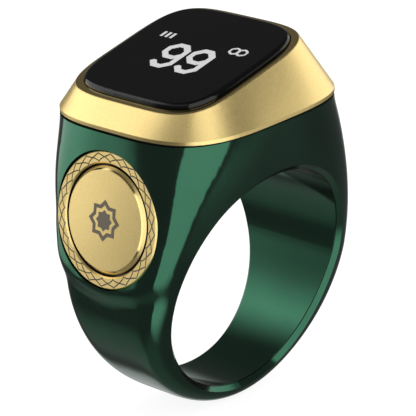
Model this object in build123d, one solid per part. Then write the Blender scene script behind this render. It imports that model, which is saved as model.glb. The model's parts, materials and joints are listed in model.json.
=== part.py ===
"""A tally counter worn as a finger ring: a display head on top, a push button on one side.

Frame: the origin is the centre of the finger hole, +Y runs along the hole, +Z points to the
display and the button is on the -X side. Millimetres and degrees.
"""
from build123d import *
import os
from math import cos, hypot, pi, radians, sin, sqrt

# Finger hole and band
bore_radius = 10.0
bore_bevel = 0.45
band_wall_button = 2.70  # beside the finger, on the button side
band_wall_far = 2.55  # beside the finger, on the far side
band_wall_far_high = 1.35  # far side, half way up to the head's seam
band_wall_foot = 1.60  # under the finger
band_half_width = 5.80  # beside the finger
foot_half_width = 4.00  # under the finger
band_roundness = 9.2  # exponent of the band's rounded section on the button side
far_roundness = 6.5  # the same on the far side
foot_roundness = 6.0  # the same under the finger
foot_taper = 3.4  # exponent of the wall's thinning towards the foot
corner_start = 0.16  # share of the height where the corners start to grow rounder

# Seam between the green body and the gold bezel
seam_rise = 5.0  # above the top of the finger hole
seam_overhang = 1.97  # past the finger hole, on the button's side
seam_half_x = 10.25
seam_half_y = 9.72
seam_roundness = 3.44
seam_tilt = 4.66
body_wall = 1.35
head_floor = 1.50  # between the finger and the electronics

# Gasket, bezel and cover lens
gasket_thickness = 0.15
gasket_reveal = 0.22
bezel_land = 0.30
bezel_wall = 0.62  # at the top, beside the lens
bezel_ledge = 0.70
spigot_depth = 1.00
spigot_wall = 0.70
spigot_clearance = 0.05
spigot_floor_gap = 0.12
rim_rounding = 0.18
lens_setback = 1.25  # from the seam's middle towards the button
lens_tilt = 17.1
bezel_spread_x = 2.97  # from the lens edge out to the seam
bezel_spread_y = 2.47
lens_roundness = 4.28
lens_thickness = 1.20
lens_proud = 0.45
lens_rounding = 0.38
lens_clearance = 0.06
tape_thickness = 0.10
tape_inset = 0.15

# Display, its frame and the board under it
panel_border_x = 1.78  # from the panel out to the lens edge
panel_border_y = 1.25
panel_thickness = 1.20
panel_gap = 0.05
panel_clearance = 0.12
panel_corner = 0.30
frame_clearance = 0.15
frame_floor = 0.40
frame_skirt = 0.90
chamber_room = 0.80  # round the board's long sides, in the body
part_height_room = 1.00  # for the chips between the frame and the board
board_inset_x = 0.78  # from the board out to the lens edge
board_inset_y = 1.05
board_thickness = 0.60
board_corner = 1.00
flex_thickness = 0.10
flex_bend = 0.40
display_flex_loop = 0.55
flex_margin = 0.50  # from a flex's edge to the end of its connector or pad row
connector_width = 1.60
connector_height = 0.80
radio_chip_height = 0.75
charger_chip_height = 0.60
crystal_height = 0.45
antenna_height = 0.60
capacitor_height = 0.35
capacitor_count = 6

# Places of the chips, from -1 to 1 over the free room on the board
connector_share = 0.66
radio_chip_x = (-0.82, -0.11)
radio_chip_y = (-0.38, 0.38)
charger_chip_x = (0.11, 0.46)
charger_chip_y = (0.40, 0.78)
crystal_x = (0.11, 0.40)
crystal_y = (-0.78, -0.40)
antenna_x = (-0.97, -0.70)
antenna_y = (0.42, 0.97)
capacitor_half_x = 0.055
capacitor_half_y = 0.033
capacitor_pitch = 0.17

# Battery
battery_thickness = 2.80
battery_end_gap = 0.50  # from the battery's end to the board's edge
battery_side_gap = 0.20
battery_corner = 0.70
battery_pad_thickness = 0.20
battery_floor_gap = 0.32
tab_width = 1.20
tab_inset = 1.70

# Vibration motor, which lies along Y
motor_radius = 1.60
motor_edge_gap = 0.30  # from the motor's side to the board's edge
motor_back_gap = 2.40
motor_front_gap = 0.75
motor_wall = 0.14
motor_battery_gap = 0.50
motor_board_gap = 0.05
shaft_radius = 0.30
shaft_running_gap = 0.02
magnet_radius = 1.00
magnet_bore_gap = 0.12
coil_inner_radius = 1.14
coil_outer_radius = 1.34
coil_web = 0.40
coil_end_gap = 0.30
end_cap_thickness = 0.80
weight_radius = 1.45
weight_length = 2.80
weight_gap = 0.25

# Inner cover with the charging contacts
cover_half_x = 6.20
cover_share = 0.68  # of the seam's half length
cover_thickness = 0.90
cover_corner = 1.20
cover_clearance = 0.06
cover_ledge = 0.80
cover_gasket_thickness = 0.10
contact_radius = 0.90
flange_share = 0.19  # of the cover's half length
contact_flange_thickness = 0.35
contact_recess = 0.04
contact_share = 0.545  # of the cover's half length between the contacts
contact_height = 1.60
contact_clearance = 0.03
contact_flex_end_gap = 0.35
charge_magnet_thickness = 0.75
magnet_share = 0.19  # of the cover's half length
magnet_end_share = 0.85
charge_magnet_lift = 0.02

# Push button, all depths from the collar's face
button_drop = 8.02  # from the seam down to the button's middle
button_tilt = 6.5
button_floor_wall = 1.15
button_pocket_depth = 2.15
button_travel = 0.30
boss_fade = 1.70  # from the collar's edge out to where the boss has gone
boss_squeeze = 0.80  # the boss's height over its width
boss_start = 2.50  # how far below the cheek's middle the boss takes to stand out
cheek_proud = 0.11
collar_radius = 5.78
collar_clearance = 0.06
collar_bore = 4.72
collar_lip = 0.60
collar_skirt_wall = 0.50
collar_edge = 0.12
cap_gap = 0.20
cap_proud = 0.25
cap_bevel = 0.40
cap_dome = 0.10
cap_web = 1.20
flange_play = 0.05
flange_gap = 0.14
flange_thickness = 0.40
stem_radius = 1.10
stem_play = 0.03
seal_inner_radius = 3.40
seal_gap = 0.06
seal_play = 0.08

# Switch under the button
switch_half_x = 1.90
switch_half_y = 1.60
switch_height = 0.72
switch_pocket_depth = 2.90
switch_clearance = 0.10
plunger_radius = 0.80
plunger_clearance = 0.05
plunger_stand = 0.42
plunger_length = 0.70
dome_radius = 1.15
dome_thickness = 0.06
dome_well = 0.12
dome_play = 0.03
switch_flex_width = 2.60
flex_slot_gap = 0.25
flex_landing = 0.80

# Values that follow from the ones above
seam_height = bore_radius + seam_rise
seam_centre_x = seam_half_x - bore_radius - seam_overhang
lens_centre_x = seam_centre_x - lens_setback
lens_half_x = seam_half_x - bezel_spread_x
lens_half_y = seam_half_y - bezel_spread_y
panel_half_x = lens_half_x - panel_border_x
panel_half_y = lens_half_y - panel_border_y
board_half_x = lens_half_x - board_inset_x
board_half_y = lens_half_y - board_inset_y
board_room_x = board_half_x - frame_skirt
board_room_y = board_half_y - frame_skirt
chamber_half_y = board_half_y + chamber_room
connector_half_y = connector_share * board_room_y
display_flex_width = 2 * (connector_half_y - flex_margin)
battery_left = -board_half_x + motor_edge_gap + 2 * motor_radius + motor_battery_gap
battery_right = board_half_x - battery_end_gap
battery_half_y = board_half_y - battery_side_gap
motor_back_y = chamber_half_y - motor_back_gap
motor_front_y = weight_length + weight_gap + motor_front_gap - chamber_half_y
cover_half_y = cover_share * seam_half_y
contact_spacing = contact_share * cover_half_y
contact_flange_radius = flange_share * cover_half_y
contact_end = contact_spacing / 2 + contact_flange_radius
contact_flex_width = 2 * contact_end - 2 * flex_margin
charge_magnet_radius = magnet_share * cover_half_y
charge_magnet_end = magnet_end_share * cover_half_y
button_height = seam_height - button_drop
lens_bottom = lens_thickness - lens_proud
pocket_depth = lens_bottom + tape_thickness
ledge_bottom = pocket_depth + bezel_ledge
panel_top = lens_bottom + panel_gap
panel_bottom = panel_top + panel_thickness
frame_bottom = panel_bottom + frame_floor
board_top = frame_bottom + part_height_room
board_bottom = board_top + board_thickness
battery_top = board_bottom + battery_pad_thickness
battery_bottom = battery_top + battery_thickness
head_floor_radius = bore_radius + head_floor
lens_distance = head_floor_radius + battery_floor_gap + battery_bottom
lens_sin = sin(radians(lens_tilt))
lens_cos = cos(radians(lens_tilt))
lens_height = (lens_distance + lens_centre_x * lens_sin) / lens_cos
button_sin = sin(radians(button_tilt))
button_cos = cos(radians(button_tilt))
button_distance = bore_radius + button_floor_wall + button_pocket_depth

# Working planes, each with its z axis pointing out of the object
seam_sin = sin(radians(seam_tilt))
seam_cos = cos(radians(seam_tilt))
seam_plane = Plane((seam_centre_x, 0, seam_height), (seam_cos, 0, seam_sin), (-seam_sin, 0, seam_cos))
lens_plane = Plane((lens_centre_x, 0, lens_height), (lens_cos, 0, lens_sin), (-lens_sin, 0, lens_cos))


def button_face_x(height):
    """How far the plane of the collar's face stands from the YZ plane at a height."""
    return (button_distance - height * button_sin) / button_cos


button_origin = (-button_face_x(button_height), 0, button_height)
button_up = button_height * button_cos - button_face_x(button_height) * button_sin
button_plane = Plane(button_origin, (0, -1, 0), (-button_cos, 0, button_sin))

# Sampling of the smooth forms
outline_points = 64
section_points = 24
section_fine = 120
section_step = 3
half_starts = (-90, 90)  # the body is lofted in two halves from these angles
core_inset = 0.8  # how far the sections reach inside the finger hole, to be cut away
core_radius = bore_radius - core_inset
crown_start = 1.7
crown_rise = 7.0
skin_halvings = 32
beyond = 60.0
past = 1.0  # how far a cutting shape runs past a face


def squircle(half_x, half_y, roundness):
    """A closed superellipse in the XY plane."""
    points = []
    for i in range(outline_points):
        a = 2 * pi * i / outline_points
        r = (abs(cos(a) / half_x) ** roundness + abs(sin(a) / half_y) ** roundness) ** (-1 / roundness)
        points.append(Vector(r * cos(a), r * sin(a), 0))
    return Wire([Edge.make_spline(points, periodic=True)])


def squircle_block(half_x, half_y, roundness, low, high):
    """A superellipse slab between two heights."""
    return Pos(0, 0, low) * extrude(Face(squircle(half_x, half_y, roundness)), high - low)


def block(x_range, y_range, z_range, corner=0.0):
    """A box between limits, with its upright edges rounded if asked."""
    size = [high - low for low, high in (x_range, y_range, z_range)]
    middle = [(low + high) / 2 for low, high in (x_range, y_range, z_range)]
    box = Box(*size)
    if corner > 0:
        box = fillet(box.edges().filter_by(Axis.Z), corner)
    return Pos(*middle) * box


def disc(radius, low, high):
    """A round slab between two heights."""
    return Pos(0, 0, low) * Cylinder(radius, high - low, align=(Align.CENTER, Align.CENTER, Align.MIN))


def ring(outer, inner, low, high):
    """A flat ring between two heights."""
    return disc(outer, low, high) - disc(inner, low - past, high + past)


def along_y(radius, y_from, y_to, x=0.0, z=0.0):
    """A cylinder along the finger hole's direction."""
    rod = Rot(-90, 0, 0) * Cylinder(radius, y_to - y_from, align=(Align.CENTER, Align.CENTER, Align.MIN))
    return Pos(x, y_from, z) * rod


def ribbon(points, width, bend=flex_bend, centre_y=0.0):
    """A thin flexible strip that follows points (x, z) and is wide along Y."""
    path = FilletPolyline(*points, radius=bend)
    strip = trace(path, line_width=flex_thickness)
    solid = extrude(Plane.XZ * strip, width / 2, both=True)
    return Pos(0, centre_y, 0) * solid


def in_head(shape):
    """Puts a shape drawn with depth below the bezel's rim as -z into the head."""
    return lens_plane * shape


def head_point(x, depth):
    """The XZ place of a point in the head, given along the lens and below the rim."""
    place = lens_plane.from_local_coords(Vector(x, 0, -depth))
    return place.X, place.Z


def ease(t, at_zero, at_half, at_one):
    """A cubic through three values, level at zero."""
    cube = 2 * ((at_one - at_zero) - 4 * (at_half - at_zero))
    square = (at_one - at_zero) - cube
    return at_zero + square * t**2 + cube * t**3


def smooth_step(t, start):
    """Rises from 0 at a start to 1 at 1, level at both ends."""
    share = min(1.0, max(0.0, (t - start) / (1 - start)))
    return share**2 * (3 - 2 * share)


def body_level(z):
    """The body's outline at a height: reach and roundness of both sides, centre, half width, shrink."""
    t = min(z / seam_height, 1 + crown_start / seam_height)
    cheek = button_face_x(seam_height / 2) + cheek_proud
    left = ease(t, bore_radius + band_wall_button, cheek, seam_half_x - seam_centre_x)
    far_half_way = bore_radius + band_wall_far_high
    right = ease(t, bore_radius + band_wall_far, far_half_way, seam_half_x + seam_centre_x)
    centre = seam_centre_x * t**2
    half_y = band_half_width + (seam_half_y - band_half_width) * t
    near_round = band_roundness + (seam_roundness - band_roundness) * smooth_step(t, corner_start)
    far_round = far_roundness + (seam_roundness - far_roundness) * min(t, 1.0)
    over = max(0.0, (z - seam_height - crown_start) / (crown_rise - crown_start))
    shrink = sqrt(max(0.0, 1 - over**2))
    return (left + centre, near_round), (right - centre, far_round), centre, half_y, shrink


def foot_level(angle):
    """Outer radius, half width and roundness of the lower band in a direction."""
    low = -sin(angle)
    wall, roundness = (band_wall_button, band_roundness) if cos(angle) < 0 else (band_wall_far, far_roundness)
    side = bore_radius + wall
    foot = bore_radius + band_wall_foot
    outer = foot + (side - foot) * abs(cos(angle)) ** foot_taper
    slope = (seam_half_y - band_half_width) / seam_height * foot
    half_y = band_half_width - slope * low + (foot_half_width - band_half_width + slope) * low**2
    roundness += (foot_roundness - roundness) * low**2
    return outer, half_y, roundness


def boss_rise(x, y, z, reach):
    """How far the round boss under the button stands out of the band, which reaches that far itself."""
    up = x * button_sin + z * button_cos - button_up
    fade = smooth_step(1 - (hypot(y * boss_squeeze, up) - collar_radius) / boss_fade, 0.0)
    start = smooth_step((seam_height / 2 - z) / boss_start, 0.0)
    return max(0.0, button_face_x(z) + cheek_proud - reach) * fade * start


def body_field(r, y, angle):
    """Below zero inside the body's outer form, above zero outside, about in millimetres."""
    x = r * cos(angle)
    z = r * sin(angle)
    if z < 0:
        outer, half_y, roundness = foot_level(angle)
        if x < 0:
            outer += boss_rise(x, y, z, -outer * cos(angle))
        reach = r / outer
    else:
        near, far, centre, half_y, shrink = body_level(z)
        if shrink == 0:
            return beyond
        side, roundness = near if x < centre else far
        if x < centre:
            side += boss_rise(x, y, z, side - centre)
        reach = abs(x - centre) / (side * shrink)
        half_y *= shrink
    return half_y * ((reach**roundness + (abs(y) / half_y) ** roundness) ** (1 / roundness) - 1)


def skin_distance(turn, angle):
    """How far the skin is from the bevel's middle, turned from the radius towards the edge."""
    low, high = 0.0, beyond
    for _ in range(skin_halvings):
        middle = (low + high) / 2
        r = bore_radius + bore_bevel + middle * cos(turn)
        if body_field(r, middle * sin(turn), angle) < 0:
            low = middle
        else:
            high = middle
    return low


def body_section(degrees):
    """The closed wire of the body cut by a half plane through the finger's axis."""
    angle = radians(degrees)
    bevel_top = bore_radius + bore_bevel
    fine = []
    for i in range(section_fine + 1):
        turn = pi / 2 * (1 - i / section_fine)
        reach = skin_distance(turn, angle)
        fine.append((bevel_top + reach * cos(turn), reach * sin(turn)))
    run = [0.0]
    for (r0, y0), (r1, y1) in zip(fine, fine[1:]):
        run.append(run[-1] + hypot(r1 - r0, y1 - y0))
    half_curve = []
    j = 0
    for i in range(section_points + 1):
        want = run[-1] * i / section_points
        while j < section_fine - 1 and run[j + 1] < want:
            j += 1
        share = (want - run[j]) / (run[j + 1] - run[j])
        r = fine[j][0] + share * (fine[j + 1][0] - fine[j][0])
        half_curve.append((r, fine[j][1] + share * (fine[j + 1][1] - fine[j][1])))
    curve = [(r, -y) for r, y in half_curve] + [(r, y) for r, y in reversed(half_curve[:-1])]
    steps = len(curve) - 1
    core_y = half_curve[0][1] - (bevel_top - core_radius)
    curve += [(core_radius, core_y), (core_radius, -core_y)]
    points = [Vector(r * cos(angle), y, r * sin(angle)) for r, y in curve]
    skin = Edge.make_spline(points[:-2], parameters=[i / steps for i in range(steps + 1)])
    corners = points[-3:] + points[:1]
    return Wire([skin] + [Edge.make_line(a, b) for a, b in zip(corners, corners[1:])])


def body_form():
    """The solid outer form of the body, lofted round the finger's axis in two halves."""
    halves = []
    for start in half_starts:
        angles = range(start, start + 180 + section_step, section_step)
        halves.append(Solid.make_loft([body_section(a) for a in angles]))
    return halves[0].fuse(halves[1])


def cover_prism(grow, corner):
    """The upright rounded rectangle that the inner cover is cut from."""
    half_x = cover_half_x + grow
    half_y = cover_half_y + grow
    return block((-half_x, half_x), (-half_y, half_y), (0, seam_height), corner)


def make_ring_body():
    body = body_form()
    body -= along_y(bore_radius, -beyond, beyond)
    body -= seam_plane * Box(beyond, beyond, beyond, align=(Align.CENTER, Align.CENTER, Align.MIN))
    spigot_room = spigot_depth + spigot_floor_gap
    body -= seam_plane * squircle_block(
        seam_half_x - body_wall, seam_half_y - body_wall, seam_roundness, -spigot_room, past
    )
    left, _ = head_point(-board_half_x - frame_clearance, board_bottom)
    right = seam_half_x + seam_centre_x - body_wall
    chamber = block((left, right), (-chamber_half_y, chamber_half_y), (0, seam_height), board_corner)
    body -= chamber - along_y(head_floor_radius, -beyond, beyond)
    cover_shell = along_y(bore_radius + cover_thickness + cover_gasket_thickness, -beyond, beyond)
    body -= cover_prism(cover_clearance, cover_corner) & cover_shell
    body -= cover_prism(-cover_ledge, cover_corner)
    body -= button_plane * disc(collar_radius + collar_clearance, -button_pocket_depth, past)
    body -= button_plane * block(
        (-switch_half_x - switch_clearance, switch_half_x + switch_clearance),
        (-switch_half_y - switch_clearance, switch_half_y + switch_clearance),
        (-switch_pocket_depth, 0),
    )
    body -= flex_slot()
    return body


def switch_flex_points():
    """Where the switch's flex runs: under the switch, up the slot, then under the board."""
    depth = switch_pocket_depth - flex_thickness / 2
    low = button_plane.from_local_coords(Vector(0, -switch_half_y, -depth))
    high = button_plane.from_local_coords(Vector(0, switch_half_y, -depth))
    x0, z0 = head_point(0, board_bottom + flex_thickness / 2)
    rise = lens_sin / lens_cos
    step_x = high.X - low.X
    step_z = high.Z - low.Z
    share = (z0 + rise * (low.X - x0) - low.Z) / (step_z - rise * step_x)
    corner = (low.X + share * step_x, low.Z + share * step_z)
    end = head_point(-board_half_x + flex_landing, board_bottom + flex_thickness / 2)
    return [(low.X, low.Z), corner, end]


def flex_slot():
    """The slot that lets the switch's flex climb into the head."""
    start, corner, end = switch_flex_points()
    half_y = switch_flex_width / 2 + flex_slot_gap
    rise = block((-flex_slot_gap, flex_slot_gap), (-half_y, half_y), (0, corner[1] - start[1]))
    lean = Rot(0, button_tilt, 0)
    slot = Pos(start[0], 0, start[1]) * lean * rise
    landing = block(
        (corner[0] - flex_slot_gap, end[0]),
        (-half_y, half_y),
        (corner[1] - flex_slot_gap, seam_height),
    )
    below_seam = seam_plane * Box(
        beyond, beyond, beyond, align=(Align.CENTER, Align.CENTER, Align.MAX)
    )
    return slot + (landing & below_seam)


def make_bezel():
    base = squircle(seam_half_x, seam_half_y, seam_roundness)
    shoulder = gasket_thickness + bezel_land
    rim_half_x = lens_half_x + bezel_wall
    rim_half_y = lens_half_y + bezel_wall
    rim = squircle(rim_half_x, rim_half_y, lens_roundness)
    skin = Solid.make_loft([seam_plane * Pos(0, 0, shoulder) * base, lens_plane * rim], ruled=True)
    land = squircle_block(seam_half_x, seam_half_y, seam_roundness, gasket_thickness, shoulder)
    bezel = seam_plane * land + skin
    top_edge = bezel.edges().sort_by(Axis(lens_plane.origin, lens_plane.z_dir))[-1]
    bezel = fillet(top_edge, rim_rounding)
    inside = body_wall + spigot_clearance
    spigot_block = squircle_block(
        seam_half_x - inside, seam_half_y - inside, seam_roundness, -spigot_depth, shoulder
    )
    bezel = bezel + seam_plane * spigot_block
    inside += spigot_wall
    mouth = squircle(seam_half_x - inside, seam_half_y - inside, seam_roundness)
    ceiling = squircle(lens_half_x, lens_half_y, lens_roundness)
    hollow = Solid.make_loft(
        [seam_plane * Pos(0, 0, gasket_thickness) * mouth, lens_plane * Pos(0, 0, -ledge_bottom) * ceiling],
        ruled=True,
    )
    bezel -= hollow
    bezel -= seam_plane * squircle_block(
        seam_half_x - inside, seam_half_y - inside, seam_roundness, -spigot_depth - past, gasket_thickness
    )
    pocket_x = lens_half_x + lens_clearance
    pocket_y = lens_half_y + lens_clearance
    bezel -= in_head(squircle_block(pocket_x, pocket_y, lens_roundness, -pocket_depth, lens_proud))
    return bezel - in_head(panel_window(pocket_depth - past, ledge_bottom + past))


def panel_window(depth_from, depth_to):
    """The rectangular opening round the display panel."""
    half_x = panel_half_x + panel_clearance
    half_y = panel_half_y + panel_clearance
    return block((-half_x, half_x), (-half_y, half_y), (-depth_to, -depth_from), panel_corner)


def make_bezel_gasket():
    outer_x = seam_half_x - gasket_reveal
    outer_y = seam_half_y - gasket_reveal
    inner_x = seam_half_x - body_wall
    inner_y = seam_half_y - body_wall
    outer = squircle_block(outer_x, outer_y, seam_roundness, 0, gasket_thickness)
    return seam_plane * (outer - squircle_block(inner_x, inner_y, seam_roundness, -past, past))


def make_cover_lens():
    lens = squircle_block(lens_half_x, lens_half_y, lens_roundness, -lens_bottom, lens_proud)
    lens = fillet(lens.edges().sort_by(Axis.Z)[-1], lens_rounding)
    return in_head(lens)


def make_lens_tape():
    tape = squircle_block(
        lens_half_x - tape_inset, lens_half_y - tape_inset, lens_roundness, -pocket_depth, -lens_bottom
    )
    return in_head(tape - panel_window(0, pocket_depth + past))


def make_display_panel():
    x = (-panel_half_x, panel_half_x)
    y = (-panel_half_y, panel_half_y)
    return in_head(block(x, y, (-panel_bottom, -panel_top)))


def frame_outline(depth_from, depth_to):
    """The display frame's outside, just inside the bezel."""
    half_x = lens_half_x - frame_clearance
    half_y = lens_half_y - frame_clearance
    return squircle_block(half_x, half_y, lens_roundness, -depth_to, -depth_from)


def make_display_frame():
    frame = frame_outline(ledge_bottom, board_top)
    frame -= panel_window(0, panel_bottom)
    x = (-board_room_x, board_room_x)
    y = (-board_room_y, board_room_y)
    frame -= block(x, y, (-board_top - past, -frame_bottom))
    flex_y = display_flex_width / 2 + flex_slot_gap
    loop_x = panel_half_x + display_flex_loop + flex_slot_gap
    frame -= block((board_room_x - past, loop_x), (-flex_y, flex_y), (-board_top - past, 0))
    return in_head(frame)


def make_main_board():
    x = (-board_half_x, board_half_x)
    y = (-board_half_y, board_half_y)
    return in_head(block(x, y, (-board_bottom, -board_top), board_corner))


def chip(x_range, y_range, height):
    """A chip that stands on the board's upper side."""
    return in_head(block(x_range, y_range, (-board_top, -board_top + height)))


def placed_chip(x_shares, y_shares, height):
    """A chip between shares of the free room on the board."""
    x_range = [share * board_room_x for share in x_shares]
    y_range = [share * board_room_y for share in y_shares]
    return chip(x_range, y_range, height)


connector_x = panel_half_x - connector_width


def make_display_connector():
    x = (connector_x - connector_width / 2, connector_x + connector_width / 2)
    return chip(x, (-connector_half_y, connector_half_y), connector_height)


def make_display_flex():
    from_z = -(ledge_bottom + panel_bottom) / 2
    to_z = -(board_top - connector_height / 2)
    turn_x = panel_half_x + display_flex_loop
    points = [
        (panel_half_x, from_z),
        (turn_x, from_z),
        (turn_x, to_z),
        (connector_x + connector_width / 2, to_z),
    ]
    return in_head(ribbon(points, display_flex_width))


def make_radio_chip():
    return placed_chip(radio_chip_x, radio_chip_y, radio_chip_height)


def make_charger_chip():
    return placed_chip(charger_chip_x, charger_chip_y, charger_chip_height)


def make_crystal_can():
    return placed_chip(crystal_x, crystal_y, crystal_height)


def make_chip_antenna():
    return placed_chip(antenna_x, antenna_y, antenna_height)


def make_chip_capacitors():
    rows = []
    for i in range(capacitor_count):
        middle = (i - (capacitor_count - 1) / 2) * capacitor_pitch
        y = (middle - capacitor_half_y, middle + capacitor_half_y)
        rows.append(placed_chip((-capacitor_half_x, capacitor_half_x), y, capacitor_height))
    return Compound(children=rows)


def make_battery_cell():
    x = (battery_left, battery_right)
    y = (-battery_half_y, battery_half_y)
    return in_head(block(x, y, (-battery_bottom, -battery_top), battery_corner))


def make_battery_pad():
    inset = battery_corner
    x = (battery_left + inset, battery_right - 2 * inset)
    y = (-battery_half_y + inset, battery_half_y - inset)
    return in_head(block(x, y, (-battery_top, -board_bottom)))


def make_battery_tabs():
    level = -(battery_top + battery_thickness / 4)
    reach = battery_right + battery_end_gap / 2 + flex_bend
    points = [(battery_right, level), (reach, level), (reach, -board_bottom)]
    bend = flex_bend / 2
    far_y = battery_half_y - tab_inset
    sides = [ribbon(points, tab_width, bend, y) for y in (-far_y, far_y)]
    return Compound(children=[in_head(s) for s in sides])


motor_x, motor_z = head_point(
    battery_left - motor_battery_gap - motor_radius, board_bottom + motor_board_gap + motor_radius
)


def motor_rod(radius, y_from, y_to):
    """A cylinder on the motor's axis."""
    return along_y(radius, y_from, y_to, motor_x, motor_z)


def make_motor_can():
    can = motor_rod(motor_radius, motor_front_y, motor_back_y)
    can -= motor_rod(motor_radius - motor_wall, motor_front_y + motor_wall, motor_back_y + past)
    return can - motor_rod(shaft_radius + shaft_running_gap, motor_front_y - past, motor_back_y)


def make_motor_end_cap():
    cap = motor_rod(motor_radius - motor_wall, motor_back_y - end_cap_thickness, motor_back_y)
    socket = motor_rod(shaft_radius + shaft_running_gap, motor_front_y, motor_back_y - end_cap_thickness / 2)
    return cap - socket


coil_back_y = motor_back_y - end_cap_thickness - coil_end_gap


def make_motor_magnet():
    y_from = motor_front_y + motor_wall
    y_to = coil_back_y - coil_web - coil_end_gap
    tube = motor_rod(magnet_radius, y_from, y_to)
    return tube - motor_rod(shaft_radius + magnet_bore_gap, y_from - past, y_to + past)


def make_motor_coil():
    y_from = motor_front_y + motor_wall + coil_end_gap
    cup = motor_rod(coil_outer_radius, y_from, coil_back_y)
    cup -= motor_rod(coil_inner_radius, y_from - past, coil_back_y - coil_web)
    return cup - motor_rod(shaft_radius, y_from - past, coil_back_y + past)


def make_motor_shaft():
    y_from = motor_front_y - weight_gap - weight_length
    return motor_rod(shaft_radius, y_from, motor_back_y - end_cap_thickness / 2 - shaft_running_gap)


def make_motor_weight():
    y_to = motor_front_y - weight_gap
    y_from = y_to - weight_length
    weight = motor_rod(weight_radius, y_from, y_to)
    upper = block(
        (motor_x - motor_radius, motor_x + motor_radius),
        (y_from - past, y_to + past),
        (motor_z + 2 * shaft_radius, motor_z + motor_radius),
    )
    return weight - upper - motor_rod(shaft_radius, y_from - past, y_to + past)


contact_top = bore_radius + contact_height


def contact_places():
    """Where the two charging contacts stand along the finger hole."""
    return [side * contact_spacing / 2 for side in (-1, 1)]


def make_inner_cover():
    shell = along_y(bore_radius + cover_thickness, -beyond, beyond) - along_y(bore_radius, -beyond, beyond)
    cover = cover_prism(0, cover_corner) & shell
    for y in contact_places():
        cover -= Pos(0, y, 0) * disc(contact_radius + contact_clearance, 0, contact_top)
    return cover


def make_cover_gasket():
    low = bore_radius + cover_thickness
    high = low + cover_gasket_thickness
    shell = along_y(high, -beyond, beyond) - along_y(low, -beyond, beyond)
    return (cover_prism(0, cover_corner) - cover_prism(-cover_ledge, cover_corner)) & shell


def make_charging_contacts():
    flange_low = bore_radius + cover_thickness
    pins = []
    for y in contact_places():
        pin = disc(contact_radius, bore_radius + contact_recess, contact_top)
        pin += disc(contact_flange_radius, flange_low, flange_low + contact_flange_thickness)
        pins.append(Pos(0, y, 0) * pin)
    return Compound(children=pins)


def make_charging_magnets():
    low = bore_radius + cover_thickness + charge_magnet_lift
    magnet = disc(charge_magnet_radius, low, low + charge_magnet_thickness)
    far_y = charge_magnet_end - charge_magnet_radius
    return Compound(children=[Pos(0, y, 0) * magnet for y in (-far_y, far_y)])


def make_contact_flex():
    level = contact_top + flex_thickness / 2
    end_x, end_z = head_point(board_half_x - flex_landing, board_bottom + flex_thickness / 2)
    edge_x, _ = head_point(battery_right, battery_bottom)
    up_x = edge_x + contact_flex_end_gap
    up_z = end_z + (up_x - end_x) * lens_sin / lens_cos
    points = [(-contact_flange_radius, level), (up_x, level), (up_x, up_z), (end_x, end_z)]
    return ribbon(points, contact_flex_width)


def make_button_collar():
    collar = ring(collar_radius, collar_bore, -collar_lip, 0)
    collar = chamfer(collar.edges().group_by(Axis.Z)[-1], collar_edge)
    skirt = ring(collar_radius, collar_radius - collar_skirt_wall, -button_pocket_depth, -collar_lip)
    return button_plane * (collar + skirt)


cap_radius = collar_bore - cap_gap
cap_ball_radius = (cap_radius**2 + cap_dome**2) / (2 * cap_dome)
flange_top = collar_lip + flange_play
plunger_top = switch_pocket_depth - flex_thickness - switch_height - plunger_stand


def make_button_cap():
    cap = disc(cap_radius, -flange_top, cap_proud)
    cap = chamfer(cap.edges().group_by(Axis.Z)[-1], cap_bevel)
    cap &= Pos(0, 0, cap_proud - cap_ball_radius) * Rot(90, 0, 0) * Sphere(cap_ball_radius)
    flange = disc(collar_radius - collar_skirt_wall - flange_gap, -flange_top - flange_thickness, -flange_top)
    stem = disc(stem_radius, -plunger_top + stem_play, -flange_top)
    hollow = ring(cap_radius - cap_bevel, stem_radius, -beyond, cap_proud - cap_web)
    return button_plane * (cap + flange + stem - hollow)


def make_button_seal():
    outer = collar_radius - collar_skirt_wall - seal_gap
    top = flange_top + flange_thickness + button_travel + seal_play
    return button_plane * ring(outer, seal_inner_radius, -button_pocket_depth, -top)


switch_floor = switch_pocket_depth - flex_thickness
switch_top = switch_floor - switch_height


def make_switch_case():
    case = block(
        (-switch_half_x, switch_half_x), (-switch_half_y, switch_half_y), (-switch_floor, -switch_top)
    )
    case -= disc(plunger_radius + plunger_clearance, -switch_floor + dome_well, 0)
    case -= disc(dome_radius + plunger_clearance, -switch_floor + dome_well, -switch_floor + dome_room)
    return button_plane * case


def make_switch_plunger():
    return button_plane * disc(plunger_radius, -plunger_top - plunger_length, -plunger_top)


dome_top = plunger_top + plunger_length + dome_play
dome_room = switch_floor - dome_top + dome_thickness
dome_height = switch_floor - dome_well - dome_top


def make_switch_dome():
    standing = (Align.CENTER, Align.CENTER, Align.MIN)
    cone = Cone(dome_radius, plunger_radius / 2, dome_height, align=standing)
    shell = cone - Pos(0, 0, -dome_thickness) * cone
    return button_plane * Pos(0, 0, -switch_floor + dome_well) * shell


def make_switch_flex():
    return ribbon(switch_flex_points(), switch_flex_width)


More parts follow.
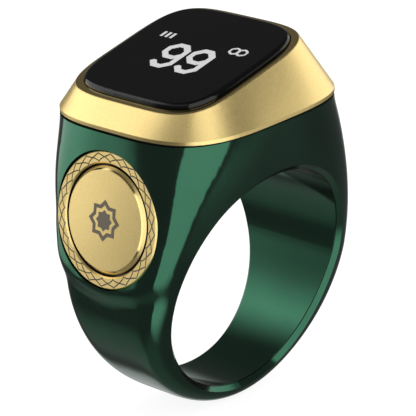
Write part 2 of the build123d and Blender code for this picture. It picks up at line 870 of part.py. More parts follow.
makers = {
    "ring_body": make_ring_body,
    "bezel": make_bezel,
    "bezel_gasket": make_bezel_gasket,
    "cover_lens": make_cover_lens,
    "lens_tape": make_lens_tape,
    "display_panel": make_display_panel,
    "display_frame": make_display_frame,
    "display_flex": make_display_flex,
    "display_connector": make_display_connector,
    "main_board": make_main_board,
    "radio_chip": make_radio_chip,
    "charger_chip": make_charger_chip,
    "crystal_can": make_crystal_can,
    "chip_antenna": make_chip_antenna,
    "chip_capacitors": make_chip_capacitors,
    "battery_cell": make_battery_cell,
    "battery_pad": make_battery_pad,
    "battery_tabs": make_battery_tabs,
    "motor_can": make_motor_can,
    "motor_end_cap": make_motor_end_cap,
    "motor_magnet": make_motor_magnet,
    "motor_coil": make_motor_coil,
    "motor_shaft": make_motor_shaft,
    "motor_weight": make_motor_weight,
    "inner_cover": make_inner_cover,
    "cover_gasket": make_cover_gasket,
    "charging_contacts": make_charging_contacts,
    "charging_magnets": make_charging_magnets,
    "contact_flex": make_contact_flex,
    "button_collar": make_button_collar,
    "button_cap": make_button_cap,
    "button_seal": make_button_seal,
    "switch_case": make_switch_case,
    "switch_plunger": make_switch_plunger,
    "switch_dome": make_switch_dome,
    "switch_flex": make_switch_flex,
}

os.makedirs("parts", exist_ok=True)
for name, make in makers.items():
    export_step(make(), f"parts/{name}.step")
print("button face centre", [round(v, 4) for v in button_origin])
print("button press direction", round(button_cos, 5), 0, round(-button_sin, 5))
print("motor axis at x, z", round(motor_x, 4), round(motor_z, 4))
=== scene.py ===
# %% [markdown]
# Digital tasbih counter, the kind that is worn as a finger ring.
# The solids come from the CAD frame and are never moved or reshaped here. This lesson gives them
# their finishes, adds the lit signs on the display, the lattice on the collar and a plain star on
# the count button, models the switch's snap dome once more, and sets up the light and the camera.

# %% Load the frame
import json
from math import cos, pi, radians, sin, sqrt, tan

import bpy
from mathutils import Matrix, Vector


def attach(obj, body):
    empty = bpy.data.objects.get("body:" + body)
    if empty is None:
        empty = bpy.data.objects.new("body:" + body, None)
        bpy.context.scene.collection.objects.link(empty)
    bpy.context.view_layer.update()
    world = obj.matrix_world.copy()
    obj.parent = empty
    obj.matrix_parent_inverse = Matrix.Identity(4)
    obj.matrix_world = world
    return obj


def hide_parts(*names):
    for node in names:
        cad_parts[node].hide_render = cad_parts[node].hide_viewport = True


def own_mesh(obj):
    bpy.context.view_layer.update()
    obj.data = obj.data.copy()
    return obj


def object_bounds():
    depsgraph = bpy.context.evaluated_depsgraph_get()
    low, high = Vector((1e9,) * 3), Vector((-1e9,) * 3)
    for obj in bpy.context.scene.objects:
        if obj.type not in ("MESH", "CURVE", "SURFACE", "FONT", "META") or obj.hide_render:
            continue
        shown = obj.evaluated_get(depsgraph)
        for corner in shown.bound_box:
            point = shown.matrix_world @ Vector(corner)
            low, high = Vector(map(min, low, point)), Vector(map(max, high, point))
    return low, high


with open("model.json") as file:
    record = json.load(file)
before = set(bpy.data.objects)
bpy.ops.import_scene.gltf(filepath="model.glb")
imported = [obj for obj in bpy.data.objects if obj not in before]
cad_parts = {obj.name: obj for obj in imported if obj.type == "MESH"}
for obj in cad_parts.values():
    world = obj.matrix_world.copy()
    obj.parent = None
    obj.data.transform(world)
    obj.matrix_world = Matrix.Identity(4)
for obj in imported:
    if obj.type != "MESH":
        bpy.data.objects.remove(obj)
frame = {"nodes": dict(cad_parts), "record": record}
nodes = frame["nodes"]
cad_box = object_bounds()
print("CAD box", [list(corner) for corner in cad_box])

# %% [markdown]
# Everything in the frame is in metres. The photo was measured in millimetres, so one factor turns
# a size that is easy to read into a length that Blender uses.

# %% One millimetre
MM = 0.001
print("one millimetre is", MM, "m")

# %% [markdown]
# A finish is a node tree. Written node by node it is long and hard to read, so one small class wraps
# a socket and lets Python's own signs add the Math nodes.

# %% Sums of values
class Strand:
    """A value that runs along a link of a finish, and that takes part in sums."""

    def __init__(self, finish, socket):
        self.finish = finish
        self.socket = socket

    def sum_of(self, operation, first, second):
        return self.finish.node("ShaderNodeMath", {"operation": operation}, {0: first, 1: second})

    def __add__(self, other):
        return self.sum_of("ADD", self, other)

    def __radd__(self, other):
        return self.sum_of("ADD", other, self)

    def __sub__(self, other):
        return self.sum_of("SUBTRACT", self, other)

    def __rsub__(self, other):
        return self.sum_of("SUBTRACT", other, self)

    def __mul__(self, other):
        return self.sum_of("MULTIPLY", self, other)

    def __rmul__(self, other):
        return self.sum_of("MULTIPLY", other, self)

    def __truediv__(self, other):
        return self.sum_of("DIVIDE", self, other)

    def __rtruediv__(self, other):
        return self.sum_of("DIVIDE", other, self)

    def __gt__(self, other):
        return self.sum_of("GREATER_THAN", self, other)


print("sums ready")

# %% [markdown]
# A second class holds the material itself. One of its methods adds any other node: its type, then its
# settings, then the values or links of its sockets. The rest are short names for the nodes that come
# back in many finishes. All of them read Object coordinates, so that a pattern stays on its piece.

# %% A finish
class Finish:
    """A material that is put together around one Principled shader."""

    def __init__(self, name, **fixed):
        self.material = bpy.data.materials.new(name)
        self.material.use_nodes = True
        self.tree = self.material.node_tree
        self.shader = self.tree.nodes["Principled BSDF"]
        for socket, value in fixed.items():
            self.shader.inputs[socket.replace("_", " ")].default_value = value
        self.place = self.node("ShaderNodeTexCoord", {}, {}, "Object")

    def node(self, kind, settings, sockets, output=0):
        made = self.tree.nodes.new(kind)
        for name, value in settings.items():
            setattr(made, name, value)
        for name, value in sockets.items():
            if isinstance(value, Strand):
                self.tree.links.new(value.socket, made.inputs[name])
            else:
                made.inputs[name].default_value = value
        return Strand(self, made.outputs[output])

    def noise(self, scale, detail=3.0, place=None):
        sockets = {"Vector": place or self.place, "Scale": scale, "Detail": detail}
        return self.node("ShaderNodeTexNoise", {}, sockets)

    def cells(self, scale, place=None):
        sockets = {"Vector": place or self.place, "Scale": scale}
        return self.node("ShaderNodeTexVoronoi", {}, sockets)

    def bands(self, scale, distortion):
        """Waves that lie across the object's y axis."""
        sockets = {"Vector": self.place, "Scale": scale, "Distortion": distortion}
        return self.node("ShaderNodeTexWave", {"bands_direction": "Y"}, sockets)

    def stretched(self, scale):
        """The object's coordinates, squeezed along each axis, for grain that runs one way."""
        return self.node("ShaderNodeMapping", {}, {"Vector": self.place, "Scale": scale})

    def mix(self, share, first, second):
        settings = {"data_type": "RGBA"}
        return self.node("ShaderNodeMix", settings, {0: share, 6: first, 7: second}, 2)

    def along(self, axis):
        """How far a place lies along a direction."""
        settings = {"operation": "DOT_PRODUCT"}
        return self.node("ShaderNodeVectorMath", settings, {0: self.place, 1: axis}, "Value")

    def feed(self, socket, strand):
        self.tree.links.new(strand.socket, self.shader.inputs[socket])

    def relief(self, height, depth, strength=1.0):
        sockets = {"Height": height, "Distance": depth, "Strength": strength}
        self.feed("Normal", self.node("ShaderNodeBump", {}, sockets))

    def done(self):
        print(self.material.name, "has", len(self.tree.nodes), "nodes")
        return self.material


finishes = {}
print("finishes can be made")

# %% [markdown]
# The body is metal under a clear green lacquer. Its colour sits in the reflection itself, as on
# anodised metal, so the shader is metallic with a green base and the picture of the studio shows in
# it. The lacquer's own skin adds a faint grey veil, which is a rough coat over the sharp mirror.
# Handling leaves very faint smears, which only change how sharp the mirror is. Where the finger hole
# meets its bevel, a fine dark line of painted shade is put into the colour, where a shadow falls: it
# is found by its distance from the hole's axis.

# %% Green lacquer
SMEAR_SCALE = 260.0
FLAKE_SCALE = 16000.0
WAVE_SCALE = 900.0
WAVE_DEPTH = 0.0006 * MM
SEAM_START = 10.006 * MM
SEAM_END = 10.066 * MM
DEEP_GREEN = (0.028, 0.108, 0.062, 1)
CLEAR_GREEN = (0.037, 0.136, 0.079, 1)
SEAM_SHADE_BLACK = (0.002, 0.004, 0.003, 1)


def green_lacquer():
    finish = Finish("green_lacquer", Metallic=1.0, Coat_Weight=0.18, Coat_Roughness=0.5)
    smears = finish.noise(SMEAR_SCALE, 4.0)
    flakes = finish.noise(FLAKE_SCALE, 2.0)
    settings = {"operation": "MULTIPLY"}
    flat = finish.node("ShaderNodeVectorMath", settings, {0: finish.place, 1: (1, 0, 1)})
    reach = finish.node("ShaderNodeVectorMath", {"operation": "LENGTH"}, {0: flat}, "Value")
    # Painted shade: a thin black line at the start of the hole's bevel, where a shadow falls.
    seam_shade = (reach > SEAM_START) - (reach > SEAM_END)
    green = finish.mix(smears, DEEP_GREEN, CLEAR_GREEN)
    finish.feed("Base Color", finish.mix(seam_shade, green, SEAM_SHADE_BLACK))
    finish.feed("Roughness", 0.06 + smears * 0.05 + flakes * 0.02)
    finish.relief(finish.noise(WAVE_SCALE, 2.0), WAVE_DEPTH)
    return finish.done()


finishes["green_lacquer"] = green_lacquer()

# %% [markdown]
# The gold pieces are bead-blasted and then plated, so they have a fine even grain that spreads the
# light, and slightly warmer hollows between the grains. Three places differ. The flat rim round the
# glass is cut with a polished tool after blasting: it is found by its height along the way the glass
# faces, and there the grain is switched off. So it is on the bevel round the button's cap. The gap
# between the cap and the collar is painted black and not metallic, as painted shade for the shadow
# that falls in it: gap and bevel are found by their height along the way the button faces.

# %% Satin gold
HEAD_FACING = (-0.29404, 0.0, 0.95579)
BUTTON_FACING = (-0.99357, 0.0, 0.1132)
RIM_HEIGHT = 18.80 * MM
GAP_HEIGHT = 13.13 * MM
BEVEL_BOTTOM = 13.31 * MM
BEVEL_TOP = 13.446 * MM
GRAIN_SCALE = 6500.0
CLOUD_SCALE = 190.0
BLAST_DEPTH = 0.008 * MM
BLAST_STRENGTH = 0.8
GOLD_HOLLOW = (0.80, 0.585, 0.225, 1)
GOLD_CREST = (1.0, 0.80, 0.350, 1)
GAP_SHADE_BLACK = (0.004, 0.004, 0.004, 1)


def gold_grain(finish, blasted, polished, matt):
    """Roughens a finish where it is blasted, and gives back the colours of the grain."""
    grain = finish.noise(GRAIN_SCALE)
    cloud = finish.noise(CLOUD_SCALE)
    finish.feed("Roughness", polished + blasted * (matt + grain * 0.10 + cloud * 0.05))
    finish.relief(grain * blasted, BLAST_DEPTH, BLAST_STRENGTH)
    return finish.mix(grain, GOLD_HOLLOW, GOLD_CREST)


def satin_gold():
    finish = Finish("satin_gold", Metallic=1.0)
    blasted = 1 - (finish.along(HEAD_FACING) > RIM_HEIGHT)
    finish.feed("Base Color", gold_grain(finish, blasted, 0.10, 0.17))
    return finish.done()


def button_gold():
    finish = Finish("button_gold")
    height = finish.along(BUTTON_FACING)
    # Painted shade: below the gap height the gold is painted black and not metallic, for the shadow in
    # the gap.
    out_of_gap_shade = height > GAP_HEIGHT
    blasted = 1 - (height > BEVEL_BOTTOM) + (height > BEVEL_TOP)
    gold = gold_grain(finish, blasted, 0.09, 0.15)
    finish.feed("Base Color", finish.mix(out_of_gap_shade, GAP_SHADE_BLACK, gold))
    finish.feed("Metallic", out_of_gap_shade)
    return finish.done()


finishes["satin_gold"] = satin_gold()
finishes["button_gold"] = button_gold()

# %% [markdown]
# The display glass is dark and polished. It shows no panel edge when the display is dark, so it is
# an almost black, very smooth surface, with the faintest film of touch on it.

# %% Cover glass
TOUCH_SCALE = 340.0
GLASS_BLACK = (0.0010, 0.0010, 0.0010, 1)
TOUCH_GREY = (0.0022, 0.0022, 0.0022, 1)


def cover_glass():
    finish = Finish("cover_glass", IOR=1.43)
    touch = finish.noise(TOUCH_SCALE, 5.0)
    finish.feed("Base Color", finish.mix(touch, GLASS_BLACK, TOUCH_GREY))
    finish.feed("Roughness", 0.04 + touch * 0.05)
    return finish.done()


finishes["cover_glass"] = cover_glass()

# %% [markdown]
# The lit signs are small light sources. No two pixels are quite equally bright, and a pattern of fine
# cells is the simplest way to vary them.

# %% Lit pixels
FLICKER_SCALE = 3900.0
PIXEL_GREY = (0.020, 0.020, 0.021, 1)
PIXEL_BLACK = (0.012, 0.012, 0.013, 1)
FULL_WHITE = (1.0, 1.0, 1.0, 1)
DIM_WHITE = (0.86, 0.87, 0.88, 1)


def lit_pixels():
    finish = Finish("lit_pixels", Roughness=0.4, Emission_Strength=0.68)
    flicker = finish.cells(FLICKER_SCALE)
    finish.feed("Base Color", finish.mix(flicker, PIXEL_GREY, PIXEL_BLACK))
    finish.feed("Emission Color", finish.mix(flicker, FULL_WHITE, DIM_WHITE))
    return finish.done()


glow = lit_pixels()

# %% [markdown]
# The lattice and the star are burnt into the plating by a laser, which leaves a matt dark brown with
# an uneven edge. The fine lines of the lattice are burnt deeper, and are darker than the star.

# %% Burnt marks
SOOT_SCALE = 9000.0
SOOT_DEPTH = 0.002 * MM


def burnt_brown(name, dark, light):
    finish = Finish(name)
    soot = finish.noise(SOOT_SCALE, 4.0)
    finish.feed("Base Color", finish.mix(soot, (*dark, 1), (*light, 1)))
    finish.feed("Roughness", 0.45 + soot * 0.25)
    finish.relief(soot, SOOT_DEPTH)
    return finish.done()


line_brown = burnt_brown("line_brown", (0.040, 0.031, 0.017), (0.085, 0.068, 0.040))
star_brown = burnt_brown("star_brown", (0.075, 0.062, 0.042), (0.135, 0.115, 0.082))

# %% [markdown]
# Most inner pieces are stock materials: rubber, moulded plastic, tape, foam, chip resin, fired
# ceramic and plain metals. They differ in their two colours, in the size of their grain, in how
# rough they are, in how much that varies and in how deep the grain is, so one recipe serves them
# all. The last value says that it is a metal.

# %% Stock materials
FINE_TO_BROAD = 14
FINE_SHARE = 0.6


def stock(name, dark, light, grain, roughness, spread, depth, metallic=0.0):
    finish = Finish(name, Metallic=metallic)
    fine = finish.noise(grain, 4.0)
    broad = finish.noise(grain / FINE_TO_BROAD, 2.0)
    cloud = fine * FINE_SHARE + broad * (1 - FINE_SHARE)
    finish.feed("Base Color", finish.mix(cloud, (*dark, 1), (*light, 1)))
    finish.feed("Roughness", roughness + fine * spread)
    finish.relief(fine, depth * MM)
    return finish.done()


STOCK = {
    "panel_glass": ((0.010, 0.010, 0.012), (0.018, 0.018, 0.021), 4000.0, 0.10, 0.05, 0.0),
    "seal_rubber": ((0.010, 0.010, 0.011), (0.026, 0.026, 0.027), 9000.0, 0.55, 0.20, 0.004),
    "black_plastic": ((0.012, 0.012, 0.013), (0.030, 0.030, 0.032), 7000.0, 0.38, 0.16, 0.005),
    "cover_black": ((0.009, 0.010, 0.010), (0.020, 0.021, 0.021), 5200.0, 0.16, 0.12, 0.002),
    "adhesive": ((0.020, 0.020, 0.020), (0.060, 0.058, 0.055), 3800.0, 0.50, 0.25, 0.006),
    "chip_resin": ((0.012, 0.012, 0.013), (0.040, 0.040, 0.042), 12000.0, 0.50, 0.20, 0.004),
    "fired_ceramic": ((0.48, 0.40, 0.30), (0.70, 0.62, 0.50), 8000.0, 0.40, 0.20, 0.004),
    "nickel": ((0.55, 0.53, 0.50), (0.72, 0.70, 0.66), 9000.0, 0.22, 0.14, 0.002, 1.0),
    "foam": ((0.030, 0.030, 0.032), (0.110, 0.110, 0.115), 3000.0, 0.80, 0.15, 0.060),
    "motor_steel": ((0.46, 0.46, 0.47), (0.64, 0.64, 0.65), 6500.0, 0.26, 0.16, 0.003, 1.0),
    "magnet_black": ((0.045, 0.045, 0.048), (0.120, 0.120, 0.125), 9000.0, 0.40, 0.20, 0.006, 0.7),
    "heavy_alloy": ((0.24, 0.24, 0.25), (0.42, 0.42, 0.43), 9500.0, 0.34, 0.22, 0.006, 1.0),
    "contact_gold": ((0.86, 0.62, 0.24), (0.98, 0.78, 0.36), 9000.0, 0.14, 0.10, 0.001, 1.0),
}
for name, recipe in STOCK.items():
    finishes[name] = stock(name, *recipe)

# %% [markdown]
# Four inner materials have a pattern of their own. The board has solder mask over copper tracks, the
# flex has gold tracks under a thin film, the coil is wound wire and the battery pouch is creased
# foil. Cells make the tracks and the creases, and waves the lanes and the turns of the wire.

# %% Patterned materials
MASK_GREEN = (0.010, 0.060, 0.032, 1)
TRACK_GREEN = (0.025, 0.120, 0.060, 1)
FILM_BROWN = (0.32, 0.15, 0.035, 1)
LANE_GOLD = (0.55, 0.30, 0.08, 1)


def board_laminate():
    finish = Finish("board_laminate", Coat_Weight=0.3, Coat_Roughness=0.2)
    tracks = finish.cells(1500.0, finish.stretched((1.0, 2.2, 1.0)))
    weave = finish.noise(6000.0)
    on_track = tracks > 0.42
    finish.feed("Base Color", finish.mix(on_track, MASK_GREEN, TRACK_GREEN))
    finish.feed("Roughness", 0.32 + weave * 0.15)
    finish.relief(on_track + weave * 0.2, 0.006 * MM)
    return finish.done()


def flex_film():
    finish = Finish("flex_film")
    lanes = finish.bands(900.0, 0.4)
    finish.feed("Base Color", finish.mix(lanes > 0.5, FILM_BROWN, LANE_GOLD))
    finish.feed("Roughness", 0.30 + lanes * 0.15)
    finish.relief(lanes, 0.004 * MM)
    return finish.done()


def copper():
    finish = Finish("copper", Metallic=1.0)
    turns = finish.bands(2600.0, 0.2)
    finish.feed("Base Color", finish.mix(turns, (0.42, 0.17, 0.07, 1), (0.86, 0.44, 0.24, 1)))
    finish.feed("Roughness", 0.22 + turns * 0.12)
    finish.relief(turns, 0.020 * MM)
    return finish.done()


def foil_pouch():
    finish = Finish("foil_pouch", Metallic=1.0)
    creases = finish.cells(520.0)
    grain = finish.noise(7000.0)
    finish.feed("Base Color", finish.mix(creases, (0.62, 0.63, 0.65, 1), (0.78, 0.79, 0.80, 1)))
    finish.feed("Roughness", 0.28 + grain * 0.14)
    finish.relief(creases + grain * 0.1, 0.020 * MM)
    return finish.done()


finishes["board_laminate"] = board_laminate()
finishes["flex_film"] = flex_film()
finishes["copper"] = copper()
finishes["foil_pouch"] = foil_pouch()

# %% [markdown]
# Each CAD node has one slot, named in the record, and each slot has a finish of the same name. So one
# pass dresses all of them. Only the button's two gold pieces get a finish of their own, because of
# the gap painted black as shade and the polished bevel.

# %% Dress the CAD nodes
pieces = frame["record"]["subparts"]
finish_of = {piece["node"]: finishes[piece["material_slot"]] for piece in pieces}
finish_of["button_collar"] = finish_of["button_cap"] = finishes["button_gold"]
for name, piece in nodes.items():
    piece.data.materials.clear()
    piece.data.materials.append(finish_of[name])
print("dressed", len(nodes), "CAD nodes")

# %% [markdown]
# Flat pieces are easiest to model lying on the XY plane, where selecting by place is simple. A matrix
# then puts the finished mesh on the glass or on the button. The two matrices below repeat the planes
# of the CAD model: which way its x axis runs, which way it faces, and where its middle is.

# %% Where the glass and the button face are
def standing_on(origin, across, facing):
    across = Vector(across).normalized()
    facing = Vector(facing).normalized()
    up = facing.cross(across)
    turned = Matrix((across, up, facing)).transposed().to_4x4()
    return Matrix.Translation(Vector(origin) * MM) @ turned


HEAD_MIDDLE = (-2.97, 0, 18.777)
HEAD_ACROSS = (0.95579, 0, 0.29404)
BUTTON_MIDDLE = (-12.5908, 0, 6.98)
BUTTON_ACROSS = (0, -1, 0)
on_head = standing_on(HEAD_MIDDLE, HEAD_ACROSS, HEAD_FACING)
on_button = standing_on(BUTTON_MIDDLE, BUTTON_ACROSS, BUTTON_FACING)
print("glass middle", list(on_head.translation), "button middle", list(on_button.translation))

# %% [markdown]
# A few steps come back for every new piece: start with nothing selected, choose faces by a rule, and
# at the end put the mesh in its place, with the object itself left at the origin.

# %% Small modelling steps
def start_clean():
    if bpy.context.object and bpy.context.object.mode != "OBJECT":
        bpy.ops.object.mode_set(mode="OBJECT")
    bpy.ops.object.select_all(action="DESELECT")


def choose_faces(piece, rule):
    """Selects the faces whose middle answers the rule, and leaves the piece in edit mode."""
    bpy.ops.object.mode_set(mode="EDIT")
    bpy.ops.mesh.select_mode(type="FACE")
    bpy.ops.mesh.select_all(action="DESELECT")
    bpy.ops.object.mode_set(mode="OBJECT")
    for face in piece.data.polygons:
        face.select = bool(rule(face.center))
    bpy.ops.object.mode_set(mode="EDIT")


def settle(piece, name, place, body, material):
    """Names a finished piece, puts its mesh in place and lets it ride on its body."""
    start_clean()
    piece.name = name
    piece.data.name = name
    piece.data.transform(place @ piece.matrix_world)
    piece.matrix_world = Matrix.Identity(4)
    piece.data.materials.clear()
    piece.data.materials.append(material)
    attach(piece, body)
    print(name, "has", len(piece.data.polygons), "faces")


print("modelling steps ready")

# %% [markdown]
# The display draws its signs from square pixels. Each sign starts as a grid of pixels; those outside
# the sign are deleted by a rule, the rest are inset one by one, so that a thin dark line stays
# between them, and extruded by a hair. A picture on the glass would be quicker, but it would have no
# edge of its own and would blur up close.

# %% Pixel signs
PIXEL = 0.09
GLASS_RISE = 0.45 * MM
SIGN_DEPTH = 0.012 * MM
PIXEL_GAP = 0.004 * MM


def pixel_sign(name, centre, size, rule):
    """A lit sign on the glass. The rule is asked with x up the sign and y to its left, in mm."""
    start_clean()
    columns = round(size[0] / PIXEL)
    rows = round(size[1] / PIXEL)
    bpy.ops.mesh.primitive_grid_add(x_subdivisions=columns, y_subdivisions=rows, size=1.0)
    grid = bpy.context.object
    grid.scale = (columns * PIXEL * MM, rows * PIXEL * MM, 1.0)
    bpy.ops.object.transform_apply(location=False, rotation=False, scale=True)
    choose_faces(grid, lambda at: not rule(at.x / MM, at.y / MM))
    bpy.ops.mesh.delete(type="FACE")
    bpy.ops.mesh.select_all(action="SELECT")
    bpy.ops.mesh.inset(thickness=PIXEL_GAP, use_individual=True)
    bpy.ops.mesh.select_all(action="INVERT")
    bpy.ops.mesh.delete(type="FACE")
    bpy.ops.mesh.select_all(action="SELECT")
    bpy.ops.mesh.extrude_region_move(TRANSFORM_OT_translate={"value": (0, 0, SIGN_DEPTH)})
    bpy.ops.mesh.select_all(action="SELECT")
    bpy.ops.mesh.normals_make_consistent(inside=False)
    place = on_head @ Matrix.Translation((centre[0] * MM, centre[1] * MM, GLASS_RISE))
    settle(grid, name, place, "ring", glow)


print("one pixel is", PIXEL, "mm")

# %% [markdown]
# A nine is a bowl, a long right side and a hook at the foot. The bowl and the hook are parts of one
# kind of ring, an eight-sided one, because a pixel display rounds its corners that way.

# %% The two nines
DIGIT_HIGH = 4.00
DIGIT_WIDE = 2.52
BOWL_HALF = 1.24
STROKE = 0.54
CORNER = 0.79
HOOK_TIP = 0.95
HOOK_SLANT = 0.08
TENS_AT = (-0.686, 1.16)
ONES_AT = (-0.686, -1.65)


def in_octagon(x, y, half_x, half_y, corner):
    x, y = abs(x), abs(y)
    return x < half_x and y < half_y and x + y < half_x + half_y - corner


def in_ring(x, y):
    """Whether a place is on an eight-sided ring, as wide as a digit and one stroke thick."""
    inner_corner = CORNER - STROKE * (2 - sqrt(2))
    outer = in_octagon(x, y, BOWL_HALF, DIGIT_WIDE / 2, CORNER)
    return outer and not in_octagon(x, y, BOWL_HALF - STROKE, DIGIT_WIDE / 2 - STROKE, inner_corner)


def in_nine(x, y):
    middle = DIGIT_HIGH / 2 - BOWL_HALF
    hook = x < -HOOK_TIP and x + y < -HOOK_SLANT
    foot = in_ring(x + middle, y) and x < -middle and (y < 0 or hook)
    side = -DIGIT_WIDE / 2 < y < STROKE - DIGIT_WIDE / 2 and abs(x) <= middle
    return in_ring(x - middle, y) or foot or side


pixel_sign("digit_tens", TENS_AT, (DIGIT_HIGH, DIGIT_WIDE), in_nine)
pixel_sign("digit_ones", ONES_AT, (DIGIT_HIGH, DIGIT_WIDE), in_nine)

# %% [markdown]
# Three upright bars show how full the battery is. They are one grid of pixels from which the columns
# between the bars are taken out.

# %% The battery bars
BARS_AT = (2.06, 3.95)
BARS_HIGH = 0.81
BARS_WIDE = 1.35
BAR_PITCH = 6 * PIXEL
BAR_WIDE = 3 * PIXEL


def in_bar(x, y):
    return (y + BARS_WIDE / 2) % BAR_PITCH < BAR_WIDE


pixel_sign("battery_bars", BARS_AT, (BARS_HIGH, BARS_WIDE), in_bar)

# %% [markdown]
# The loop sign says that the count starts again. It is two small rings side by side, so its rule
# asks for two circles and leaves out their middles.

# %% The loop sign
LOOP_AT = (1.957, -4.19)
LOOP_HALF = 0.41
LOOP_REACH = 0.54
LOOP_STROKE = 0.20


def in_loop(x, y):
    reaches = [sqrt((y - middle) ** 2 + x**2) for middle in (-LOOP_HALF, LOOP_HALF)]
    return any(LOOP_REACH - LOOP_STROKE < reach < LOOP_REACH for reach in reaches)


pixel_sign("loop_sign", LOOP_AT, (2 * LOOP_REACH, 2 * LOOP_HALF + 2 * LOOP_REACH), in_loop)

# %% [markdown]
# The collar carries a band of crossing lines that make pointed leaves. One line swings between the
# outer and the inner edge twelve times on its way round; a second one is its copy, turned by half a
# swing. At the outer edge a swing turns in a point, and at the inner edge its two arms run together
# into a stem. The line is a closed curve with a thin round section, made a mesh and pressed flat, so
# it lies in the gold like a burnt groove and not like a wire.

# %% The collar's lattice
SWINGS = 12
LATTICE_OUTER = 5.60
LATTICE_INNER = 4.84
LINE_HALF = 0.052
LINE_RISE = 0.010
ARM_POINTS = 10
POINT_SLOPE = 0.50


def arm_turn(depth):
    """Share of half a swing that an arm has turned at a depth, from the point 0 to the stem 1."""
    return POINT_SLOPE * depth * (1 - depth) ** 2 + depth**2 * (3 - 2 * depth)


def lattice_line(name, turn):
    start_clean()
    bpy.ops.curve.primitive_bezier_circle_add(radius=MM)
    line = bpy.context.object
    line.data.splines.clear()
    spline = line.data.splines.new("POLY")
    count = SWINGS * 2 * ARM_POINTS
    spline.points.add(count - 1)
    for index, point in enumerate(spline.points):
        swing, step = divmod(index, 2 * ARM_POINTS)
        depth = 1 - abs(step / ARM_POINTS - 1)
        share = arm_turn(depth) if step < ARM_POINTS else 2 - arm_turn(depth)
        angle = (swing + share / 2) * 2 * pi / SWINGS + turn
        reach = (LATTICE_OUTER - (LATTICE_OUTER - LATTICE_INNER) * depth) * MM
        point.co = (reach * cos(angle), reach * sin(angle), 0, 1)
    spline.use_cyclic_u = True
    line.data.dimensions = "3D"
    line.data.bevel_depth = LINE_HALF * MM
    line.data.bevel_resolution = 1
    bpy.ops.object.convert(target="MESH")
    line = bpy.context.object
    line.scale = (1, 1, LINE_RISE / LINE_HALF)
    bpy.ops.object.transform_apply(location=False, rotation=False, scale=True)
    settle(line, name, on_button, "ring", line_brown)


lattice_line("collar_lattice_a", 0.0)
lattice_line("collar_lattice_b", pi / SWINGS)

# %% [markdown]
# The middle of the button carries a plain eight-pointed star, an ornament as old as tilework. It is
# a flat sixteen-sided disc with every second corner drawn in. Two insets divide it into a border, a
# band and a middle; the band is taken out, and the rest is thickened by a hair. The cap is very
# slightly domed, so the star is let into its middle, deep enough for its points to touch the gold.

# %% The star on the button
STAR_POINTS = 8
STAR_REACH = 1.75
STAR_NOTCH = 0.77
STAR_BORDER = 0.30
GROOVE_INNER = 0.35 * STAR_REACH * MM
GROOVE_OUTER = 0.66 * STAR_REACH * MM
CAP_RISE = 0.25 * MM
STAR_DEPTH = 0.028 * MM
STAR_SINK = 0.016 * MM


def button_star():
    start_clean()
    corners = 2 * STAR_POINTS
    bpy.ops.mesh.primitive_circle_add(vertices=corners, radius=STAR_REACH * MM, fill_type="NGON")
    star = bpy.context.object
    bpy.ops.object.mode_set(mode="EDIT")
    bpy.ops.mesh.select_mode(type="VERT")
    bpy.ops.mesh.select_all(action="DESELECT")
    bpy.ops.object.mode_set(mode="OBJECT")
    for index, corner in enumerate(star.data.vertices):
        corner.select = index % 2 == 1
    bpy.ops.object.mode_set(mode="EDIT")
    bpy.ops.transform.resize(value=(STAR_NOTCH, STAR_NOTCH, 1.0))
    bpy.ops.mesh.select_mode(type="FACE")
    bpy.ops.mesh.select_all(action="SELECT")
    bpy.ops.mesh.inset(thickness=STAR_BORDER * MM)
    bpy.ops.mesh.inset(thickness=STAR_BORDER * MM)
    bpy.ops.object.mode_set(mode="OBJECT")
    choose_faces(star, lambda at: GROOVE_INNER < at.length < GROOVE_OUTER)
    bpy.ops.mesh.delete(type="FACE")
    bpy.ops.mesh.select_all(action="SELECT")
    bpy.ops.mesh.extrude_region_move(TRANSFORM_OT_translate={"value": (0, 0, STAR_DEPTH)})
    bpy.ops.mesh.select_all(action="SELECT")
    bpy.ops.mesh.normals_make_consistent(inside=False)
    place = on_button @ Matrix.Translation((0, 0, CAP_RISE - STAR_SINK))
    settle(star, "button_star", place, "button", star_brown)


button_star()

# %% [markdown]
# Under the button's plunger lies the switch's snap dome, a thin springy cone. A CAD node can't change
# its shape, so this one is modelled again: a low cone, open below, thickened to a sheet, with its rim
# pressed flat on its seat. The CAD node of the dome is hidden.

# %% The snap dome
DOME_SIDES = 64
DOME_RIM = 1.15 * MM
DOME_TOP = 0.40 * MM
DOME_HIGH = 0.29 * MM
DOME_SHEET = 0.06 * MM
DOME_SEAT = -2.68 * MM


def snap_dome():
    start_clean()
    bpy.ops.mesh.primitive_cone_add(
        vertices=DOME_SIDES, radius1=DOME_RIM, radius2=DOME_TOP, depth=DOME_HIGH
    )
    dome = bpy.context.object
    choose_faces(dome, lambda at: at.z < -DOME_HIGH / 4)
    bpy.ops.mesh.delete(type="FACE")
    bpy.ops.mesh.select_all(action="SELECT")
    bpy.ops.mesh.solidify(thickness=DOME_SHEET)
    bpy.ops.mesh.select_mode(type="VERT")
    bpy.ops.mesh.select_all(action="DESELECT")
    bpy.ops.object.mode_set(mode="OBJECT")
    for corner in dome.data.vertices:
        corner.select = corner.co.z < -DOME_HIGH / 2
    bpy.ops.object.mode_set(mode="EDIT")
    bpy.ops.transform.resize(value=(1, 1, 0), center_override=(0, 0, -DOME_HIGH / 2))
    bpy.ops.mesh.select_all(action="SELECT")
    bpy.ops.mesh.normals_make_consistent(inside=False)
    place = on_button @ Matrix.Translation((0, 0, DOME_SEAT + DOME_HIGH / 2))
    settle(dome, "snap_dome", place, "ring", finish_of["switch_dome"])
    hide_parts("switch_dome")
    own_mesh(dome)


snap_dome()

# %% [markdown]
# The ring stands on a plain white table, whose paper glows so that it stays white all over. It is kept
# out of the mirror of the lacquer, because a product studio hides it there with dark cards, and it
# casts no shadow on the ring.

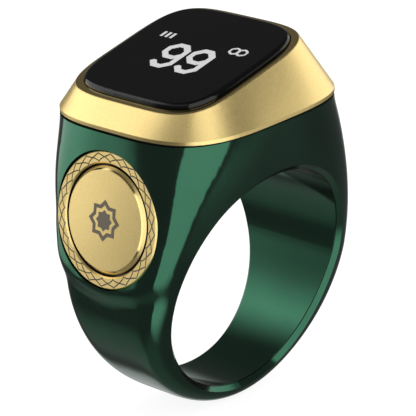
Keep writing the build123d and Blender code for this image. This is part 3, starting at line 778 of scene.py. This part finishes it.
# %% The table
TABLE_SIZE = 4.0
start_clean()
bpy.ops.mesh.primitive_plane_add(size=TABLE_SIZE, location=(0, 0, cad_box[0].z))
table = bpy.context.object
table.name = "table"
paper = Finish("white_paper", Roughness=0.9, Emission_Strength=0.90)
fibre = paper.noise(700.0)
paper.feed("Base Color", paper.mix(fibre, (0.18, 0.18, 0.18, 1), (0.20, 0.20, 0.20, 1)))
paper.feed("Emission Color", paper.mix(fibre, (0.99, 0.99, 0.99, 1), (1.0, 1.0, 1.0, 1)))
table.data.materials.append(paper.material)
table.visible_glossy = False
table.visible_shadow = False
print("table at", table.location.z)

# %% [markdown]
# Polished metal shows what stands round it, so the studio matters as much as the finishes. Lamps
# would do, but here the soft boxes are painted into the room itself, as bright windows in a dark
# surround, because then their edges can be as soft as wanted. The room's node tree is put together
# as a finish is.

# %% The room
class Room(Finish):
    """The world's node tree, with the same sums as a finish."""

    def __init__(self, name):
        self.world = bpy.data.worlds.new(name)
        self.world.use_nodes = True
        self.tree = self.world.node_tree
        self.shader = self.tree.nodes["Background"]
        self.place = self.node("ShaderNodeTexCoord", {}, {}, "Generated")

    def fade(self, value, full, none):
        """1 up to full, 0 from none on, and a smooth step between them."""
        settings = {"interpolation_type": "SMOOTHSTEP"}
        sockets = {"Value": value, "From Min": none, "From Max": full}
        return self.node("ShaderNodeMapRange", settings, sockets)

    def soft_box(self, azimuth, elevation, left, right, low, high, soft, brightness, lean=0.0):
        """A bright window round a direction. Its edges and their softness are in degrees, in the
        order left, right, low, high. Its right edge may lean to the left."""
        a, e = radians(azimuth), radians(elevation)
        ahead = Vector((sin(a) * cos(e), -cos(a) * cos(e), sin(e)))
        across = Vector((cos(a), sin(a), 0))
        above = ahead.cross(across)
        depth = self.along(ahead)
        x = self.along(across) / depth
        y = self.along(above) / depth
        window = depth > 0.0
        for value, edge, way, blur in (
            (x, left, -1, soft[0]),
            (x + y * lean, right, 1, soft[1]),
            (y, low, -1, soft[2]),
            (y, high, 1, soft[3]),
        ):
            full = tan(radians(edge - way * blur))
            none = tan(radians(edge + way * blur))
            window = window * self.fade(value, full, none)
        return window * brightness


room = Room("studio")
print("room starts with", len(room.tree.nodes), "nodes")

# %% [markdown]
# The places of the boxes were read off the photo: each spot of the body mirrors one direction, and the
# bright spots tell where a soft box stands. A row gives the azimuth and elevation of a box, its four
# edges, how soft each of them is, its brightness and, for the first one, the lean of its right edge.
# Two faint glows stand for light that comes back from the floor, straight below and low behind. Only
# the mirror of the metal sees all this. The camera and the table see a plain white room, and a Light
# Path node tells the two apart.

# %% The soft boxes
SOFT_BOXES = (
    (-20, 10, -38.5, 37.5, -60, 46, (1.5, 2.5, 8, 5), 1.32, 0.346),
    (-155, 10, -26, 22, -27, 36, (3, 11, 8, 9), 1.50),
    (-98, 38, -25, 25, -20, 14, (14, 14, 8, 8), 0.42),
    (146, -42, -22, 9, -12, 14, (8, 4, 7, 7), 0.50),
    (80, 15, -25, 25, -20, 20, (6, 6, 6, 6), 1.25),
    (46, -4, -12, 12, -28, 30, (6, 6, 8, 8), 0.50),
    (134, -8, -20, 20, -15, 15, (9, 9, 10, 10), 0.32),
)
SURROUND = 0.10
BELOW_GLOW = 0.12
BEHIND_GLOW = 0.20
LOW_BEHIND = (-0.245, 0.607, -0.756)
from_below = room.fade(room.along((0, 0, 1)), -0.93, -0.72)
from_behind = room.fade(room.along(LOW_BEHIND), 1.0, 0.925)
faint = SURROUND + from_below * BELOW_GLOW + from_behind * BEHIND_GLOW
glow_sum = sum((room.soft_box(*box) for box in SOFT_BOXES), faint)
in_mirror = room.node("ShaderNodeLightPath", {}, {}, "Is Glossy Ray")
grey = room.node("ShaderNodeCombineColor", {}, {0: glow_sum, 1: glow_sum, 2: glow_sum})
room.feed("Color", room.mix(in_mirror, (1.0, 1.0, 1.0, 1), grey))
bpy.context.scene.world = room.world
bpy.context.scene.view_settings.view_transform = "Standard"
print("room ready with", len(room.tree.nodes), "nodes")

# %% [markdown]
# The camera stands where the photo was taken from. Its angles and distance come from fitting the
# outlines of the finger hole, the glass and the button in the photo.

# %% The camera
AZIMUTH = radians(-46.545)
ELEVATION = radians(18.206)
DISTANCE = 220 * MM
AIM_RIGHT = -0.306 * MM
AIM_UP = 4.792 * MM
LENS = 221.14
SENSOR = 36.0
NEAR = 10 * MM
back = Vector((sin(AZIMUTH) * cos(ELEVATION), -cos(AZIMUTH) * cos(ELEVATION), sin(ELEVATION)))
right = Vector((cos(AZIMUTH), sin(AZIMUTH), 0))
up = back.cross(right)
stand = right * AIM_RIGHT + up * AIM_UP + back * DISTANCE
bpy.ops.object.camera_add()
camera = bpy.context.object
camera.data.lens = LENS
camera.data.sensor_width = SENSOR
camera.data.clip_start = NEAR
turned = Matrix((right, up, back)).transposed().to_4x4()
camera.matrix_world = Matrix.Translation(stand) @ turned
bpy.context.scene.camera = camera
print("camera at", list(stand))
